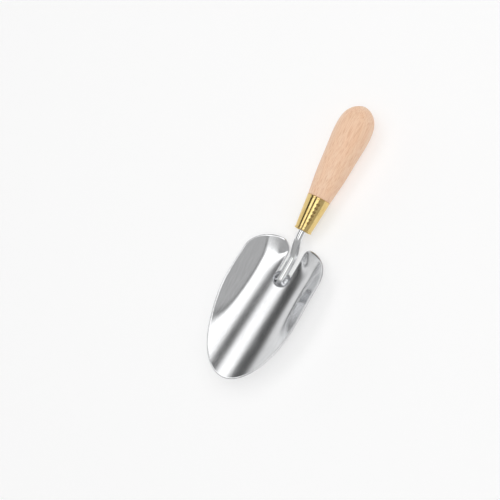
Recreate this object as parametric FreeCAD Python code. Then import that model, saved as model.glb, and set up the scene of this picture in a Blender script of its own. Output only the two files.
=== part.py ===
import FreeCAD, Part
import math
import os

# Hand trowel: a pressed steel scoop on a swan-necked rod, brass ferrule, turned beech handle.
# X runs from the butt to the scoop's tip, Y across, Z up with the scoop's hollow upwards.
# Stations along X are measured from the butt, with the scoop's rear floor level; at the end
# the whole trowel is tipped back and set down on its butt and rod, over the origin.
V = FreeCAD.Vector

# ---- driving dimensions, mm ----
OVERALL_LENGTH = 318.0
HANDLE_RISE = math.radians(7.45)    # the grip's axis climbs towards the butt
AXIS_Z = 19.9                       # height of the grip's axis at the ferrule's small end
REST_TILT = math.radians(5.775)     # lying down, the butt drops by this much

BUTT_X = 0.0
JOINT_X = 107.2                     # wood meets ferrule
FERRULE_END_X = 144.1
HANDLE_MAX_R = 19.6
HANDLE_MAX_X = 26.0
HANDLE_JOINT_R = 12.7

FERRULE_BIG_R = 12.9
FERRULE_SMALL_R = 9.2
FERRULE_WALL = 1.0
FERRULE_LIP = 0.9                   # radius of the rolled front edge
FERRULE_HOLE_R = 5.0                # the rod passes through the front wall

ROD_R = 4.6
TANG_START_X = 34.0                 # hidden end of the rod inside the grip
BEND_START_X = 149.0
BEND_END_X = 178.0
ROD_END_X = 203.2
GLUE_GAP = 0.5                      # adhesive all round the tang

SHEET = 2.0                         # blade thickness
FLOOR_Z = 1.3                       # height that the scoop's floor levels out to at the rear
FLOOR_CLIMB = 16.0                  # and how far it climbs from there to the tip
HOLLOW = 0.0065                     # crosswise hollow, mm of height per mm squared
SIDE_RISE = 9.8                     # the side walls' extra height over the hollow
REAR_RISE = 12.8                    # the same for the rear walls
BLADE_HALF_W = 46.5
TIP_CENTRE_X = 225.0                # the front of the outline is half an ellipse about this station
LOBE_REAR_X = 159.7
LOBE_R = 29.0                       # outer rear corners
LOBE_INNER_R = 9.2                  # inner corners beside the notch
NOTCH_HALF_W = 7.7
NOTCH_END_X = 197.5                 # centre of the notch's round end
BEAD_R = 9.6
BEAD_H = 3.6


def smooth(a, b, x):
    t = min(max((x - a) / (b - a), 0.0), 1.0)
    return t * t * (3 - 2 * t)


def ramp(t, soft):
    # zero below, straight above, with a round bend of the given softness between
    return (t + math.sqrt(t * t + soft * soft)) / 2


def scoop_height(x, y):
    # upper face of the scoop: a floor that climbs to the tip, evenly hollowed across,
    # with side walls that fade out towards the tip and a rear wall behind each lobe
    y = abs(y)
    fade = 1.0 - smooth(202.0, 285.0, x)
    floor = FLOOR_Z + FLOOR_CLIMB * ramp((x - 200.0) / 118.0, 0.35)
    foot = 0.66 * BLADE_HALF_W
    side = SIDE_RISE * ramp((y - foot) / (BLADE_HALF_W - foot), 0.30)
    start = 182.0 - 16.0 / (1.0 + (y / 15.0) ** 4)
    rear = REAR_RISE * ramp((start - x) / (start - LOBE_REAR_X + 4.0), 0.30)
    rise = (side ** 1.5 + rear ** 1.5) ** (1 / 1.5)
    return floor + HOLLOW * y * y + fade * rise


def scoop_face():
    # the height is sampled on a regular grid and carried by one smooth surface
    step = 2.5
    x0 = 150.0
    y0 = -57.5
    grid = [
        [scoop_height(x0 + i * step, y0 + j * step) for j in range(47)]
        for i in range(71)
    ]
    surface = Part.BSplineSurface()
    surface.interpolate(grid, x0, step, y0, step)
    return surface.toShape()


def arc(cx, cy, r, a0, a1):
    mid = (a0 + a1) / 2
    ends = [V(cx + r * math.cos(a), cy + r * math.sin(a), 0) for a in (a0, mid, a1)]
    return Part.Arc(*ends).toShape()


def line(x0, y0, x1, y1):
    return Part.makeLine(V(x0, y0, 0), V(x1, y1, 0))


def half_outline():
    # the +Y half of the scoop's plan, from the notch's end round the lobe to the tip
    notch_y = NOTCH_HALF_W
    inner_x = LOBE_REAR_X + LOBE_INNER_R
    inner_y = notch_y + LOBE_INNER_R
    outer_x = LOBE_REAR_X + LOBE_R
    outer_y = inner_y + LOBE_R
    half_pi = math.pi / 2
    major = OVERALL_LENGTH - TIP_CENTRE_X
    ellipse = Part.Ellipse(V(TIP_CENTRE_X, 0, 0), major, BLADE_HALF_W)
    return [
        arc(NOTCH_END_X, 0, notch_y, 0, half_pi),
        line(NOTCH_END_X, notch_y, inner_x, notch_y),
        arc(inner_x, inner_y, LOBE_INNER_R, -half_pi, -math.pi),
        arc(outer_x, inner_y, LOBE_R, math.pi, half_pi),
        line(outer_x, outer_y, TIP_CENTRE_X, BLADE_HALF_W),
        Part.ArcOfEllipse(ellipse, 0, half_pi).toShape(),
    ]


def make_blade():
    half = half_outline()
    mirror = FreeCAD.Matrix(1, 0, 0, 0, 0, -1, 0, 0, 0, 0, 1, 0, 0, 0, 0, 1)
    other = [e.transformGeometry(mirror) for e in half]
    wire = Part.Wire(Part.__sortEdges__(half + other))
    prism = Part.Face(wire).extrude(V(0, 0, 90))
    prism.translate(V(0, 0, -20))
    skin = scoop_face().common(prism).Faces[0]
    return skin.makeOffsetShape(-SHEET, 0.01, fill=True)


def along_grip(shape):
    # from a shape turned about the X axis to the grip's rising axis
    shape.rotate(V(FERRULE_END_X, 0, 0), V(0, 1, 0), math.degrees(HANDLE_RISE))
    shape.translate(V(0, 0, AXIS_Z))
    return shape


def turned(points_xr):
    # a solid of revolution about X from (station, radius) corners
    pts = [V(x, 0, r) for x, r in points_xr]
    face = Part.Face(Part.makePolygon(pts + [pts[0]]))
    return face.revolve(V(0, 0, 0), V(1, 0, 0), 360)


def make_rod():
    # straight tang in the grip, S-bend down into the notch, straight run to a domed end
    slope = math.tan(HANDLE_RISE)
    low = ROD_R
    start = V(TANG_START_X, 0, AXIS_Z + slope * (FERRULE_END_X - TANG_START_X))
    bend_a = V(BEND_START_X, 0, AXIS_Z - slope * (BEND_START_X - FERRULE_END_X))
    bend_b = V(BEND_END_X, 0, low)
    reach = (BEND_END_X - BEND_START_X) / 2.4
    bend = Part.BezierCurve()
    bend.setPoles([bend_a, bend_a + V(reach, 0, -slope * reach), bend_b - V(reach, 0, 0), bend_b])
    end = V(ROD_END_X - ROD_R, 0, low)
    path = Part.Wire([
        Part.makeLine(start, bend_a),
        bend.toShape(),
        Part.makeLine(bend_b, end),
    ])
    along = (bend_a - start).normalize()
    section = Part.Wire(Part.makeCircle(ROD_R, start, along))
    rod = path.makePipeShell([section], True, False)
    dome = Part.makeSphere(ROD_R, end)
    return rod.fuse(dome).removeSplitter()


def handle_profile():
    # grip outline from the butt's pole to the joint, as one curve
    pts = [
        V(BUTT_X, 0, 0),
        V(3.6, 0, 9.6),
        V(11.0, 0, 16.1),
        V(HANDLE_MAX_X, 0, HANDLE_MAX_R),
        V(55.0, 0, 18.0),
        V(80.0, 0, 16.1),
        V(JOINT_X, 0, HANDLE_JOINT_R),
    ]
    curve = Part.BSplineCurve()
    curve.interpolate(pts, InitialTangent=V(0, 0, 1), FinalTangent=V(1, 0, -0.11))
    return curve.toShape()


def ferrule_inner_r(x):
    t = (x - JOINT_X) / (FERRULE_END_X - JOINT_X)
    return FERRULE_BIG_R + (FERRULE_SMALL_R - FERRULE_BIG_R) * t - FERRULE_WALL


def make_handle(bore):
    # grip plus the tapered tenon that fills the ferrule
    tenon_end = FERRULE_END_X - 4.0
    pole = V(BUTT_X, 0, 0)
    joint = V(JOINT_X, 0, HANDLE_JOINT_R)
    step = V(JOINT_X, 0, ferrule_inner_r(JOINT_X))
    tip = V(tenon_end, 0, ferrule_inner_r(tenon_end))
    foot = V(tenon_end, 0, 0)
    edges = [handle_profile()]
    corners = [joint, step, tip, foot, pole]
    edges += [Part.makeLine(a, b) for a, b in zip(corners, corners[1:])]
    solid = Part.Face(Part.Wire(edges)).revolve(V(0, 0, 0), V(1, 0, 0), 360)
    return along_grip(solid).cut(bore)


def make_ferrule():
    wall_x = FERRULE_END_X - FERRULE_WALL
    sleeve = turned([
        (JOINT_X, FERRULE_BIG_R),
        (FERRULE_END_X, FERRULE_SMALL_R),
        (FERRULE_END_X, FERRULE_HOLE_R),
        (wall_x, FERRULE_HOLE_R),
        (wall_x, ferrule_inner_r(wall_x)),
        (JOINT_X, ferrule_inner_r(JOINT_X)),
    ])
    lip = Part.makeTorus(
        FERRULE_SMALL_R - 0.3, FERRULE_LIP, V(FERRULE_END_X, 0, 0), V(1, 0, 0)
    )
    return along_grip(sleeve.fuse(lip).removeSplitter())


def make_bore(radius, x0, x1):
    return along_grip(Part.makeCylinder(radius, x1 - x0, V(x0, 0, 0), V(1, 0, 0)))


def make_bead(rod, blade):
    # a fillet of weld metal heaped round the rod's end, filling the notch's end
    seat = scoop_height(NOTCH_END_X, 0)
    top = seat + BEAD_H
    under = seat - SHEET
    crown = Part.Arc(V(BEAD_R, 0, seat), V(7.9, 0, seat + 2.3), V(5.4, 0, top)).toShape()
    corners = [
        V(5.4, 0, top),
        V(0, 0, top),
        V(0, 0, under),
        V(BEAD_R, 0, under),
        V(BEAD_R, 0, seat),
    ]
    sides = [Part.makeLine(a, b) for a, b in zip(corners, corners[1:])]
    heap = Part.Face(Part.Wire([crown] + sides)).revolve(V(0, 0, 0), V(0, 0, 1), 360)
    heap.translate(V(NOTCH_END_X + 0.6, 0, 0))
    keep = Part.makeBox(40, 40, 40, V(NOTCH_END_X - 7.0, -20, -5))
    return heap.common(keep).cut(rod).cut(blade)


def set_down(shapes):
    # tip back about the rod's lowest line, then bring the middle of the foot to the origin
    for shape in shapes:
        shape.rotate(V(BEND_END_X, 0, 0), V(0, 1, 0), -math.degrees(REST_TILT))
    boxes = [shape.optimalBoundingBox(False, False) for shape in shapes]
    middle = (min(b.XMin for b in boxes) + max(b.XMax for b in boxes)) / 2
    lowest = min(b.ZMin for b in boxes)
    for shape in shapes:
        shape.translate(V(-middle, 0, -lowest))


def main():
    rod = make_rod()
    blade = make_blade()
    tang_bore = make_bore(ROD_R + GLUE_GAP, TANG_START_X - 2.0, FERRULE_END_X + 5.0)
    glue = make_bore(ROD_R + GLUE_GAP, TANG_START_X - 2.0, FERRULE_END_X - 4.0).cut(rod)
    parts = {
        "blade": blade,
        "shank": rod,
        "weld_bead": make_bead(rod, blade),
        "ferrule": make_ferrule(),
        "handle": make_handle(tang_bore),
        "tang_adhesive": glue,
    }
    set_down(list(parts.values()))
    os.makedirs("parts", exist_ok=True)
    for name, shape in parts.items():
        shape.exportStep(f"parts/{name}.step")


main()
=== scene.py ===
import math
import bmesh
import bpy
import numpy as np
from mathutils import Matrix, Vector


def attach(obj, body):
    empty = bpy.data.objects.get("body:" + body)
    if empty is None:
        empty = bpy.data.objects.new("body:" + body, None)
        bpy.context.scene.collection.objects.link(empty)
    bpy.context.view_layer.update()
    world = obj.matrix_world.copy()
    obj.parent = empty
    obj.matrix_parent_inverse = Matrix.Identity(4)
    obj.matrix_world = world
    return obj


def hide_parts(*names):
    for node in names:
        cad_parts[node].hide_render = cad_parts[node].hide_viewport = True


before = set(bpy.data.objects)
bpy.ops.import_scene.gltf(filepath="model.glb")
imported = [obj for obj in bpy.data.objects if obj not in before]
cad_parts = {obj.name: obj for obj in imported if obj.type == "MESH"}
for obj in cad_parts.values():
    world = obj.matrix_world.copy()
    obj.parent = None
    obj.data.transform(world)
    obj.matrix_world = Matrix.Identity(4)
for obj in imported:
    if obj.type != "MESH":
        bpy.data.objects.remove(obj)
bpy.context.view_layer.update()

# The trowel is drawn in millimetres at stations measured from the butt, with the scoop's
# rear floor level, and lay() sets it down in the shared frame as the CAD does.
TILT = math.radians(5.775)
PIVOT_X = 178.0
MIDDLE_X = 157.092
LOWEST_Z = -0.106

GRIP_RISE = math.radians(7.45)   # the grip's axis climbs towards the butt
GRIP_END_X = 144.1               # front end of the ferrule
GRIP_Z = 19.9                    # height of the grip's axis there
JOINT_X = 107.2                  # wood meets ferrule
JOINT_R = 12.7

FERRULE_BIG_R = 12.88
FERRULE_SMALL_R = 9.2
FERRULE_WALL_X = 143.0           # inner face of the front wall
FERRULE_BORE_R = 11.9            # inside, at the joint
FERRULE_BORE_TAPER = 3.7
FERRULE_HOLE_R = 5.0             # the rod passes through here
LIP_X = 143.6
LIP_R = 0.88

ROD_R = 4.6
TANG_START_X = 34.0
BEND_START_X = 149.0
BEND_END_X = 178.0
ROD_END_X = 203.2

SHEET = 2.0
FLOOR_Z = 1.3                    # height that the scoop's floor levels out to at the rear
FLOOR_CLIMB = 16.0               # and how far it climbs from there to the tip
HOLLOW = 0.0065                  # crosswise hollow, mm of height per mm squared
SIDE_RISE = 9.8
REAR_RISE = 12.8
HALF_W = 46.5
LENGTH = 318.0
TIP_X = 225.0                    # the front of the outline is half an ellipse about this station
LOBE_X = 159.7
LOBE_R = 29.0
LOBE_IN_R = 9.2
NOTCH_W = 7.7
NOTCH_X = 197.5
BEAD_R = 9.5
BEAD_H = 3.4

SKIN_GAP = 0.02                  # the drawn rod stays this far inside the CAD's
MERGE_M = 4e-6


def lay(points):
    # from stations in millimetres to the shared frame in metres
    p = np.asarray(points, float)
    c, s = math.cos(TILT), math.sin(TILT)
    x = PIVOT_X + (p[..., 0] - PIVOT_X) * c - p[..., 2] * s - MIDDLE_X
    z = (p[..., 0] - PIVOT_X) * s + p[..., 2] * c - LOWEST_Z
    return np.stack([x, p[..., 1], z], -1) / 1000


def lay_direction(d):
    c, s = math.cos(TILT), math.sin(TILT)
    return Vector((d[0] * c - d[2] * s, d[1], d[0] * s + d[2] * c))


def on_grip(points):
    # from a form turned about X to the grip's rising axis
    p = np.asarray(points, float)
    c, s = math.cos(GRIP_RISE), math.sin(GRIP_RISE)
    dx = p[..., 0] - GRIP_END_X
    x = GRIP_END_X + dx * c + p[..., 2] * s
    z = GRIP_Z - dx * s + p[..., 2] * c
    return np.stack([x, p[..., 1], z], -1)


def smooth(a, b, x):
    t = np.clip((x - a) / (b - a), 0, 1)
    return t * t * (3 - 2 * t)


def ramp(t, soft):
    # zero below, straight above, with a round bend of the given softness between
    return (t + np.sqrt(t * t + soft * soft)) / 2


def scoop_height(x, y):
    # upper face: a floor that climbs to the tip, hollowed across, with side and rear walls
    y = np.abs(y)
    fade = 1 - smooth(202.0, 285.0, x)
    floor = FLOOR_Z + FLOOR_CLIMB * ramp((x - 200.0) / 118.0, 0.35)
    foot = 0.66 * HALF_W
    side = SIDE_RISE * ramp((y - foot) / (HALF_W - foot), 0.30)
    start = 182.0 - 16.0 / (1 + (y / 15.0) ** 4)
    rear = REAR_RISE * ramp((start - x) / (start - LOBE_X + 4.0), 0.30)
    return floor + HOLLOW * y * y + fade * (side ** 1.5 + rear ** 1.5) ** (1 / 1.5)


def scoop_normal(x, y):
    e = 0.02
    gx = (scoop_height(x + e, y) - scoop_height(x - e, y)) / (2 * e)
    gy = (scoop_height(x, y + e) - scoop_height(x, y - e)) / (2 * e)
    n = np.stack([-gx, -gy, np.ones_like(gx)], -1)
    return n / np.linalg.norm(n, axis=-1, keepdims=True)


# ---------------------------------------------------------------- meshes
class Shell:
    # grids of points joined into one smooth mesh, shared edges merged
    def __init__(self):
        self.points = []
        self.faces = []
        self.values = []
        self.count = 0

    def grid(self, p, close=False, flip=False, value=None):
        n, m = p.shape[:2]
        index = np.arange(n * m).reshape(n, m) + self.count
        if close:
            index = np.concatenate([index, index[:, :1]], 1)
        a, b = index[:-1, :-1], index[1:, :-1]
        c, d = index[1:, 1:], index[:-1, 1:]
        order = [d, c, b, a] if flip else [a, b, c, d]
        self.faces.extend(np.stack(order, -1).reshape(-1, 4).tolist())
        self.points.append(p.reshape(-1, 3))
        shade = np.zeros(n * m) if value is None else np.asarray(value, float).reshape(-1)
        self.values.append(shade)
        self.count += n * m

    def build(self, name, mark=None):
        points = lay(np.concatenate(self.points))
        mesh = bpy.data.meshes.new(name)
        mesh.from_pydata(points.tolist(), [], self.faces)
        if mark:
            layer = mesh.attributes.new(mark, "FLOAT", "POINT")
            layer.data.foreach_set("value", np.concatenate(self.values))
        bm = bmesh.new()
        bm.from_mesh(mesh)
        bmesh.ops.remove_doubles(bm, verts=bm.verts, dist=MERGE_M)
        bmesh.ops.recalc_face_normals(bm, faces=bm.faces)
        bm.to_mesh(mesh)
        bm.free()
        mesh.polygons.foreach_set("use_smooth", [True] * len(mesh.polygons))
        piece = bpy.data.objects.new(name, mesh)
        bpy.context.scene.collection.objects.link(piece)
        return piece


def lathe(shell, stations, radii, turns, push=None):
    # a form turned about the grip's axis; push(station, angle) moves the skin outwards
    angle = np.linspace(0, 2 * math.pi, turns, endpoint=False)
    s = np.broadcast_to(np.asarray(stations, float)[:, None], (len(stations), turns))
    r = np.broadcast_to(np.asarray(radii, float)[:, None], s.shape)
    a = np.broadcast_to(angle[None], s.shape)
    value = None
    if push:
        move, value = push(s, a)
        r = r + move
    p = np.stack([s, r * np.sin(a), r * np.cos(a)], -1)
    shell.grid(on_grip(p), close=True, value=value)


# how many points the two edge chains share in each stretch of the outline
LOBE_STEPS = 19
NOTCH_STEPS = 18
NOTCH_ROUND_STEPS = 12
LOBE_OUTER_STEPS = 14
SIDE_STEPS = 24
TIP_STEPS = 63


def blade_edges(inset):
    # matching points along the notch and midline, and along the outer edge, of the +Y half
    lobe_in_x, lobe_y = LOBE_X + LOBE_IN_R, NOTCH_W + LOBE_IN_R
    lobe_x = LOBE_X + LOBE_R
    in_r, out_r, notch_r = LOBE_IN_R - inset, LOBE_R - inset, NOTCH_W + inset
    meet = np.arccos((LOBE_R - LOBE_IN_R) / LOBE_R)

    # the lobe's rounded rear corner, inner arc against outer arc
    t = np.linspace(0, 1, LOBE_STEPS)
    quarter = t * math.pi / 2
    inner = [np.c_[lobe_in_x - in_r * np.cos(quarter), lobe_y - in_r * np.sin(quarter)]]
    outer = [np.c_[lobe_x - out_r * np.cos(t * meet), lobe_y + out_r * np.sin(t * meet)]]

    # the notch's side against the rest of the outer arc and the blade's straight side
    t = np.linspace(0, 1, NOTCH_STEPS + 1)[1:]
    inner.append(np.c_[lobe_in_x + (NOTCH_X - lobe_in_x) * t, np.full(NOTCH_STEPS, notch_r)])
    arc = meet + (math.pi / 2 - meet) * np.linspace(0, 1, LOBE_OUTER_STEPS + 1)[1:]
    outer.append(np.c_[lobe_x - out_r * np.cos(arc), lobe_y + out_r * np.sin(arc)])
    t = np.linspace(0, 1, SIDE_STEPS + 1)[1:]
    widest = lobe_y + LOBE_R
    outer.append(np.c_[lobe_x + (TIP_X - lobe_x) * t, widest + (HALF_W - widest) * t - inset])

    # the notch's round end, and the elliptical tip
    turn = np.linspace(0, 1, NOTCH_ROUND_STEPS + 1)[1:] * math.pi / 2
    inner.append(np.c_[NOTCH_X + notch_r * np.sin(turn), notch_r * np.cos(turn)])
    turn = np.linspace(math.pi / 2, 0, TIP_STEPS + 1)[1:]
    long_r, wide_r = LENGTH - TIP_X - inset, HALF_W - inset
    outer.append(np.c_[TIP_X + long_r * np.cos(turn), wide_r * np.sin(turn)])
    outer = np.concatenate(outer)

    # the midline, paced like the outer points that are left
    rest = len(outer) - LOBE_STEPS - NOTCH_STEPS - NOTCH_ROUND_STEPS
    notch_end = NOTCH_X + notch_r
    tail = outer[-rest:, 0]
    t = (tail - tail[0]) / (tail[-1] - tail[0])
    first = (outer[-rest - 1, 0] - tail[0]) / (tail[-1] - tail[0])
    t = (t - first) / (1 - first)
    inner.append(np.c_[notch_end + (LENGTH - inset - notch_end) * t, np.zeros(rest)])
    return np.concatenate(inner), outer


def make_blade():
    # two faces of sheet, and a ground rim of (inset, depth) steps from the top face round
    shell = Shell()
    rim = [(1.35, 0.0), (0.95, 0.06), (0.40, 0.38), (0.10, 0.68), (0.0, 1.0)]
    rim += [(0.0, 1.55), (0.12, 1.85), (0.45, SHEET)]
    chains = [blade_edges(d) for d, _ in rim]
    notch_end = LOBE_STEPS + NOTCH_STEPS + NOTCH_ROUND_STEPS
    v = np.concatenate([[0, 0.012], np.linspace(0, 1, 30)[1:-1], [0.988, 1]])

    def between(chain):
        a, b = chain
        return a[:, None] + (b - a)[:, None] * v[None, :, None]

    def sheet(plan_points, depth):
        x, y = plan_points[..., 0], plan_points[..., 1]
        top = np.stack([x, y, scoop_height(x, y)], -1)
        return top - depth * scoop_normal(x, y)

    for side in (1, -1):
        mirror = np.array([1, side, 1])
        shell.grid(sheet(between(chains[0]), 0.0) * mirror, flip=side > 0)
        shell.grid(sheet(between(chains[-1]), SHEET) * mirror, flip=side < 0)
        for k, cut in ((0, notch_end), (1, None)):
            rows = [sheet(chain[k][:cut], t) for chain, (_, t) in zip(chains, rim)]
            shell.grid(np.stack(rows, 1) * mirror, flip=(k == 1) == (side > 0))
    return shell.build("scoop")


def rod_path():
    # side view of the rod's axis: tang, S-bend down into the notch, straight run
    slope = math.tan(GRIP_RISE)
    start = np.array([TANG_START_X, GRIP_Z + slope * (GRIP_END_X - TANG_START_X)])
    bend_a = np.array([BEND_START_X, GRIP_Z - slope * (BEND_START_X - GRIP_END_X)])
    bend_b = np.array([BEND_END_X, ROD_R])
    reach = (BEND_END_X - BEND_START_X) / 2.4
    poles = [bend_a, bend_a + [reach, -slope * reach], bend_b - [reach, 0], bend_b]
    t = np.linspace(0, 1, 49)[1:, None]
    weights = [(1 - t) ** 3, 3 * t * (1 - t) ** 2, 3 * t * t * (1 - t), t ** 3]
    bend = sum(w * p for w, p in zip(weights, poles))
    tang = start + (bend_a - start) * np.linspace(0, 1, 60)[:, None]
    straight = np.array([ROD_END_X - ROD_R - BEND_END_X, 0])
    run = bend_b + straight * np.linspace(0, 1, 16)[1:, None]
    return np.concatenate([tang, bend, run])


def make_rod():
    # swept round section: bevelled tang end, domed weld end
    path = rod_path()
    along = np.gradient(path, axis=0)
    along /= np.linalg.norm(along, axis=1)[:, None]
    skin_r = ROD_R - SKIN_GAP
    radii = np.full(len(path), skin_r)

    dome = np.linspace(0, math.pi / 2, 12)[1:]
    path = np.concatenate([path, path[-1] + np.c_[np.sin(dome), 0 * dome] * skin_r])
    along = np.concatenate([along, np.repeat(along[-1:], len(dome), 0)])
    radii = np.concatenate([radii, skin_r * np.cos(dome)])

    bevel = 0.8
    t = np.linspace(0, 1, 6)[:-1]
    path = np.concatenate([path[0] + along[0] * (t[:, None] * bevel), path[1:]])
    along = np.concatenate([np.repeat(along[:1], len(t), 0), along[1:]])
    radii = np.concatenate([(ROD_R - bevel) * t ** 0.5 + bevel * t, radii[1:]])

    a = np.linspace(0, 2 * math.pi, 64, endpoint=False)
    up = np.c_[-along[:, 1], along[:, 0]]
    x = path[:, :1] + radii[:, None] * np.cos(a) * up[:, :1]
    y = np.broadcast_to(radii[:, None] * np.sin(a), x.shape)
    z = path[:, 1:] + radii[:, None] * np.cos(a) * up[:, 1:]
    shell = Shell()
    shell.grid(np.stack([x, y, z], -1), close=True)
    return shell.build("swan_neck")


def make_bead():
    # weld heaped round the rod's end: a low crown that runs out onto the sheet
    cx = NOTCH_X + 0.6
    a = np.linspace(0, 2 * math.pi, 120, endpoint=False)
    cut_off = 7.5 / np.maximum(-np.cos(a), 0.01)    # straight end across the notch
    reach = np.minimum(np.where(np.cos(a) < -0.8, cut_off, BEAD_R), BEAD_R)
    ripple = 0.10 * np.sin(11 * a) + 0.06 * np.sin(17 * a + 1.0)
    rings = np.linspace(0, 1, 26)[:, None]
    r = rings * reach
    x, y = cx + r * np.cos(a), r * np.sin(a)
    crown = BEAD_H * np.maximum(1 - (r / (BEAD_R + 0.05)) ** 2, 0) ** 0.62
    worn = ripple * smooth(3.0, 6.0, r) * (1 - smooth(7.5, BEAD_R, r))
    base = scoop_height(x, y)
    top = np.stack([x, y, base + crown + worn - 0.03], -1)
    steps = ((0.0, 0.10), (1.0, 0.16), (1.95, 0.22), (2.0, 1.2), (2.0, SHEET - 0.1))
    skirt = []
    for inward, depth in steps:
        q = np.maximum(reach - inward, 0.1)
        sx, sy = cx + q * np.cos(a), q * np.sin(a)
        skirt.append(np.stack([sx, sy, scoop_height(sx, sy) - depth], -1))
    low = skirt[-1]
    middle = np.array([cx, 0, low[:, 2].min()])
    floor = [low + (middle - low) * t for t in (0.3, 0.6, 0.85, 1.0)]
    shell = Shell()
    shell.grid(np.concatenate([top, np.stack(skirt), np.stack(floor)]), close=True)
    return shell.build("weld")


LEAVES = 6
LEAF_START_X = 114.6
LEAF_PITCH = 4.3
LEAF_HALF_L = 2.3
LEAF_HALF_W = 2.1
LEAF_DEPTH = 0.22
LEAF_FACING = math.radians(33)


def leaf_row(s, a):
    # pointed leaves pressed one after another along the side of the ferrule
    mean_r = 11.0
    across = (np.mod(a - LEAF_FACING + math.pi, 2 * math.pi) - math.pi) * mean_r
    depth = np.zeros_like(s)
    for k in range(LEAVES):
        u = (s - (LEAF_START_X + LEAF_PITCH * k)) / LEAF_HALF_L
        v = across / LEAF_HALF_W
        shape = 1 - (u * u + np.abs(v) * (1 + 0.6 * np.abs(u)))
        leaf = smooth(0.0, 0.35, shape)
        vein = 1 - smooth(0.04, 0.16, np.abs(v))
        depth = np.maximum(depth, leaf * (1 - 0.7 * vein))
    # the depth is also stored on the mesh as the mask for the brass's painted shade
    return -LEAF_DEPTH * depth, depth


def make_ferrule():
    # tapered sleeve with a rounded rear edge, two turned grooves and a rolled front lip
    shell = Shell()
    taper_l = GRIP_END_X - JOINT_X
    s = np.linspace(JOINT_X, LIP_X, 118)
    r = FERRULE_BIG_R + (FERRULE_SMALL_R - FERRULE_BIG_R) * (s - JOINT_X) / taper_l
    edge = np.minimum(s - JOINT_X, 0.6) / 0.6
    r = r - 0.35 * (1 - np.sqrt(1 - (1 - edge) ** 2))
    groove = np.exp(-((s - 109.6) / 0.35) ** 2) + np.exp(-((s - 141.6) / 0.35) ** 2)
    r = r - 0.22 * groove
    lathe(shell, s, r, 240, leaf_row)

    roll = np.linspace(-0.5, 1.0, 16)[2:] * math.pi
    lip_s = GRIP_END_X + LIP_R * np.sin(roll)
    lip_r = FERRULE_SMALL_R - 0.32 + LIP_R * np.cos(roll)
    lip_s = np.concatenate([[LIP_X], lip_s, [143.9, 143.7, FERRULE_WALL_X]])
    lip_r = np.concatenate([[r[-1]], lip_r, [7.6, FERRULE_HOLE_R, FERRULE_HOLE_R]])
    lathe(shell, lip_s, lip_r, 240)

    bore_s = np.linspace(FERRULE_WALL_X, JOINT_X, 20)
    bore_r = FERRULE_BORE_R - FERRULE_BORE_TAPER * (bore_s - JOINT_X) / taper_l
    bore_r[0] = FERRULE_HOLE_R
    lathe(shell, bore_s, bore_r, 240)
    lathe(shell, [JOINT_X, JOINT_X], [FERRULE_BORE_R, r[0]], 240)
    return shell.build("ferrule_sleeve", "pressed")


def spline(points, first, last, count):
    # a smooth curve through the points, paced by their distances, with set end directions
    p = np.array(points, float)
    gap = np.linalg.norm(np.diff(p, axis=0), axis=1)
    knots = np.concatenate([[0], np.cumsum(gap)])
    n = len(p)
    lhs = np.zeros((n, n))
    rhs = np.zeros((n, 2))
    lhs[0, 0] = lhs[-1, -1] = 1
    rhs[0] = first
    rhs[-1] = last
    for i in range(1, n - 1):
        h0, h1 = gap[i - 1], gap[i]
        lhs[i, i - 1:i + 2] = [h1, 2 * (h0 + h1), h0]
        rhs[i] = 3 * (h1 * (p[i] - p[i - 1]) / h0 + h0 * (p[i + 1] - p[i]) / h1)
    slopes = np.linalg.solve(lhs, rhs)
    t = knots[-1] * np.linspace(0, 1, count) ** 1.25
    k = np.clip(np.searchsorted(knots, t, side="right") - 1, 0, n - 2)
    h = gap[k][:, None]
    u = ((t - knots[k]) / gap[k])[:, None]
    blend = (2 * u ** 3 - 3 * u * u + 1) * p[k] + (u ** 3 - 2 * u * u + u) * h * slopes[k]
    return blend + (3 * u * u - 2 * u ** 3) * p[k + 1] + (u ** 3 - u * u) * h * slopes[k + 1]


def make_grip():
    # the turned outline from the butt's pole, an eased shoulder, and the hidden tenon
    outline = [(0, 0), (3.6, 9.6), (11, 16.1), (26, 19.6), (55, 18.0), (80, 16.1)]
    outline.append((JOINT_X, JOINT_R))
    curve = spline(outline, (0, 1), (1, -0.11), 170)
    curve[0, 1] = 0.0
    shoulder = [(JOINT_X - 0.45, 12.6), (JOINT_X - 0.15, 12.1), (JOINT_X, 11.85)]
    tenon = [(112, 11.4), (125, 10.1), (139.8, 8.6), (140.1, 8.2), (140.1, 0.0)]
    keep = curve[curve[:, 0] < JOINT_X - 0.7]
    profile = np.concatenate([keep, shoulder, tenon])
    shell = Shell()
    lathe(shell, profile[:, 0], profile[:, 1], 160)
    return shell.build("grip")


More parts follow.
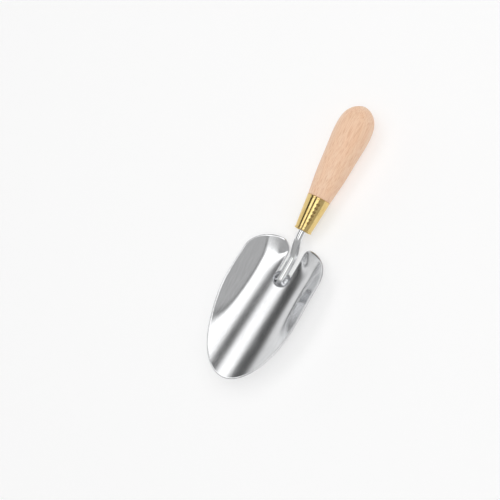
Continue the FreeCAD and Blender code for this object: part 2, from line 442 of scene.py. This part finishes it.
# ---------------------------------------------------------------- materials
class Nodes:
    # a material's node tree, with short names for the few nodes used here
    def __init__(self, name):
        self.material = bpy.data.materials.new(name)
        self.material.use_nodes = True
        self.tree = self.material.node_tree
        self.shader = self.tree.nodes["Principled BSDF"]

    def add(self, kind, inputs=None, **settings):
        node = self.tree.nodes.new(kind)
        for key, value in settings.items():
            setattr(node, key, value)
        for key, value in (inputs or {}).items():
            self.feed(node, key, value)
        return node

    def feed(self, node, key, value):
        socket = node.inputs[key]
        if isinstance(value, bpy.types.NodeSocket):
            self.tree.links.new(value, socket)
        else:
            socket.default_value = value

    def set(self, **values):
        for key, value in values.items():
            self.feed(self.shader, key.replace("_", " "), value)

    def coords(self, scale):
        source = self.add("ShaderNodeTexCoord")
        place = {"Vector": source.outputs["Object"], "Scale": scale}
        return self.add("ShaderNodeMapping", place).outputs[0]

    def noise(self, scale, size, detail=3.0, rough=0.5):
        at = {"Vector": self.coords(scale), "Scale": size, "Detail": detail, "Roughness": rough}
        return self.add("ShaderNodeTexNoise", at).outputs["Fac"]

    def span(self, value, a, b, low, high):
        place = {"Value": value, 1: a, 2: b, 3: low, 4: high}
        return self.add("ShaderNodeMapRange", place).outputs[0]

    def mix(self, factor, a, b):
        node = self.add("ShaderNodeMix", data_type="RGBA")
        self.feed(node, 0, factor)
        self.feed(node, 6, a)
        self.feed(node, 7, b)
        return node.outputs[2]

    def bump(self, height, strength, distance):
        at = {"Height": height, "Strength": strength, "Distance": distance}
        return self.add("ShaderNodeBump", at).outputs[0]


def satin_steel(name, colour, rough):
    # stainless sheet: hair-fine polishing lines run along the tool
    m = Nodes(name)
    lines = m.noise((14.0, 900.0, 900.0), 1.0, 2.0)
    cloud = m.noise((30.0, 60.0, 60.0), 1.0, 3.0)
    dull = [0.93 * c for c in colour] + [1]
    m.set(
        Base_Color=m.mix(m.span(lines, 0.35, 0.65, 0.0, 1.0), dull, colour + [1]),
        Metallic=1.0,
        Roughness=m.span(cloud, 0.3, 0.7, rough - 0.02, rough + 0.03),
        Normal=m.bump(lines, 0.05, 0.0002),
    )
    return m.material


def mirror_steel(name, colour, rough):
    # polished bar with faint handling smears
    m = Nodes(name)
    smear = m.noise((40.0, 160.0, 160.0), 1.0, 3.0)
    m.set(
        Base_Color=colour + [1],
        Metallic=1.0,
        Roughness=m.span(smear, 0.3, 0.7, rough, rough + 0.05),
        Normal=m.bump(m.noise((200.0, 700.0, 700.0), 1.0, 2.0), 0.03, 0.0002),
    )
    return m.material


def weld_metal(name):
    # bright weld with darker, rougher grains
    m = Nodes(name)
    grain = m.noise((500.0, 500.0, 500.0), 1.0, 4.0)
    m.set(
        Base_Color=m.mix(grain, (0.36, 0.37, 0.39, 1), (0.68, 0.69, 0.71, 1)),
        Metallic=1.0,
        Roughness=m.span(grain, 0.3, 0.7, 0.08, 0.20),
        Normal=m.bump(grain, 0.25, 0.0004),
    )
    return m.material


def pressed_brass(name):
    # lightly tarnished brass, with painted shade darkening the pressed leaves
    m = Nodes(name)
    pressed = m.add("ShaderNodeAttribute", attribute_name="pressed").outputs["Fac"]
    tarnish = m.noise((120.0, 300.0, 300.0), 1.0, 4.0)
    bright, dull, pressed_shade = (0.84, 0.64, 0.28, 1), (0.74, 0.53, 0.20, 1), (0.30, 0.19, 0.07, 1)
    clean = m.mix(m.span(tarnish, 0.35, 0.7, 0.0, 1.0), bright, dull)
    m.set(
        # the leaves' pressing depth mixes in a dark brown as painted shade in the recesses
        Base_Color=m.mix(m.span(pressed, 0.1, 0.7, 0.0, 0.92), clean, pressed_shade),
        Metallic=1.0,
        Roughness=m.span(tarnish, 0.3, 0.7, 0.10, 0.20),
        Normal=m.bump(m.noise((300.0, 1400.0, 1400.0), 1.0, 2.0), 0.04, 0.0002),
    )
    return m.material


def beech(name):
    # pale pinkish beech: soft growth bands along the grip and short darker ray flecks
    m = Nodes(name)
    bands = m.noise((5.0, 90.0, 90.0), 1.0, 4.0, 0.55)
    fibre = m.noise((45.0, 1100.0, 1100.0), 1.0, 3.0, 0.6)
    fleck = m.noise((60.0, 1050.0, 1050.0), 1.0, 2.0, 0.5)
    ground = m.mix(m.span(bands, 0.3, 0.7, 0.0, 1.0), (0.98, 0.72, 0.53, 1), (0.95, 0.62, 0.42, 1))
    ground = m.mix(m.span(fibre, 0.45, 0.70, 0.0, 0.50), ground, (0.82, 0.45, 0.25, 1))
    ground = m.mix(m.span(fleck, 0.48, 0.68, 0.0, 0.60), ground, (0.76, 0.42, 0.24, 1))
    m.set(
        Base_Color=ground,
        Roughness=m.span(bands, 0.3, 0.7, 0.42, 0.52),
        Normal=m.bump(fibre, 0.12, 0.0003),
        Coat_Weight=0.08,
        Coat_Roughness=0.35,
    )
    return m.material


def set_resin(name):
    # cloudy amber epoxy
    m = Nodes(name)
    cloud = m.noise((220.0, 220.0, 220.0), 1.0, 4.0)
    m.set(
        Base_Color=m.mix(cloud, (0.56, 0.47, 0.30, 1), (0.70, 0.62, 0.44, 1)),
        Roughness=m.span(cloud, 0.3, 0.7, 0.35, 0.5),
        Normal=m.bump(cloud, 0.1, 0.0003),
    )
    return m.material


# ---------------------------------------------------------------- the trowel
PIECES = (
    (make_blade, "blade", satin_steel("scoop_steel", [0.80, 0.805, 0.815], 0.18)),
    (make_rod, "shank", mirror_steel("rod_steel", [0.82, 0.825, 0.83], 0.04)),
    (make_bead, "weld_bead", weld_metal("weld_steel")),
    (make_ferrule, "ferrule", pressed_brass("ferrule_brass")),
    (make_grip, "handle", beech("grip_beech")),
)
for make, node, material in PIECES:
    piece = make()
    piece.data.materials.append(material)
    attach(piece, "root")
    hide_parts(node)

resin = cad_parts["tang_adhesive"]
resin.data.materials.clear()
resin.data.materials.append(set_resin("bore_resin"))


# ---------------------------------------------------------------- floor and light
FLOOR_REACH = 40.0


def make_floor():
    # a sheet of pale paper with a little glow of its own, wide enough to meet the tent's walls
    r = FLOOR_REACH
    mesh = bpy.data.meshes.new("floor")
    mesh.from_pydata([(-r, -r, 0), (r, -r, 0), (r, r, 0), (-r, r, 0)], [], [(0, 1, 2, 3)])
    floor = bpy.data.objects.new("floor", mesh)
    bpy.context.scene.collection.objects.link(floor)
    paper = Nodes("paper")
    paper.set(
        Base_Color=(0.60, 0.60, 0.60, 1),
        Roughness=0.9,
        Emission_Color=(1, 1, 1, 1),
        Emission_Strength=0.42,
    )
    floor.data.materials.append(paper.material)


# soft white panels of the light tent, which run along X: middle and half width in degrees
# from straight up, towards +Y, then brightness
PANELS = ((-88, 26, 0.70), (-24, 7, 1.30), (18, 10, 1.35), (80, 36, 0.40))
PANEL_EDGE = 8.0
TENT_GAP = 0.04
TENT_END = 0.36
END_STARTS = 0.33                # how far a direction points along X where an end wall begins
END_FULL = 0.60
TENT_STRENGTH = 1.25
FILL_WATTS = 8.5
FILL_SIZE_M = 1.8


def light_tent():
    # a plain grey-white tent over the tool, the same from end to end, with plain end walls
    world = bpy.data.worlds.new("tent")
    bpy.context.scene.world = world
    world.use_nodes = True
    nodes, links = world.node_tree.nodes, world.node_tree.links
    split = nodes.new("ShaderNodeSeparateXYZ")
    links.new(nodes.new("ShaderNodeTexCoord").outputs["Generated"], split.inputs[0])

    lean = nodes.new("ShaderNodeMath")
    lean.operation = "ARCTAN2"
    links.new(split.outputs["Y"], lean.inputs[0])
    links.new(split.outputs["Z"], lean.inputs[1])
    turn = nodes.new("ShaderNodeMapRange")
    turn.inputs["From Min"].default_value = -math.pi
    turn.inputs["From Max"].default_value = math.pi
    links.new(lean.outputs[0], turn.inputs["Value"])

    panels = nodes.new("ShaderNodeValToRGB")
    panels.color_ramp.interpolation = "EASE"
    stops = panels.color_ramp.elements
    stops.remove(stops[0])
    stops[0].position = 0.0
    stops[0].color = (TENT_GAP, TENT_GAP, TENT_GAP, 1)
    for middle, half, bright in PANELS:
        far = half + PANEL_EDGE
        for offset, value in ((-far, TENT_GAP), (-half, bright), (half, bright), (far, TENT_GAP)):
            stops.new((middle + offset + 180) / 360).color = (value, value, value, 1)
    links.new(turn.outputs[0], panels.inputs[0])

    along = nodes.new("ShaderNodeMath")
    along.operation = "ABSOLUTE"
    links.new(split.outputs["X"], along.inputs[0])
    ends = nodes.new("ShaderNodeMapRange")
    ends.inputs["From Min"].default_value = END_STARTS
    ends.inputs["From Max"].default_value = END_FULL
    links.new(along.outputs[0], ends.inputs["Value"])
    walls = nodes.new("ShaderNodeMix")
    walls.data_type = "RGBA"
    links.new(ends.outputs[0], walls.inputs[0])
    links.new(panels.outputs[0], walls.inputs[6])
    walls.inputs[7].default_value = (TENT_END, TENT_END, TENT_END, 1)
    links.new(walls.outputs[2], nodes["Background"].inputs["Color"])
    nodes["Background"].inputs["Strength"].default_value = TENT_STRENGTH


def fill_light():
    # a broad overhead fill for the wood and the floor, kept out of the metal's reflections
    data = bpy.data.lights.new("fill", "AREA")
    data.shape = "SQUARE"
    data.size = FILL_SIZE_M
    data.energy = FILL_WATTS
    lamp = bpy.data.objects.new("fill", data)
    bpy.context.scene.collection.objects.link(lamp)
    lamp.location = (-0.3, 0.2, 1.6)
    lamp.rotation_euler = (Vector((0, 0, 0)) - lamp.location).to_track_quat("-Z", "Y").to_euler()
    lamp.visible_glossy = False


def make_camera():
    # looking down on the scoop from its left and front, as a product shot
    data = bpy.data.cameras.new("camera")
    data.sensor_width = 36.0
    data.lens = 71.9
    data.clip_end = 100.0
    camera = bpy.data.objects.new("camera", data)
    bpy.context.scene.collection.objects.link(camera)
    ahead = lay_direction((-0.12577, -0.40279, -0.90661)).normalized()
    up = lay_direction((-0.85923, -0.41257, 0.30250)).normalized()
    right = ahead.cross(up).normalized()
    up = right.cross(ahead)
    turn = Matrix((right, up, -ahead)).transposed()
    camera.matrix_world = Matrix.Translation(Vector(lay((320.6, 383.8, 976.2)))) @ turn.to_4x4()
    bpy.context.scene.camera = camera


make_floor()
light_tent()
fill_light()
make_camera()
bpy.context.scene.view_settings.view_transform = "Standard"
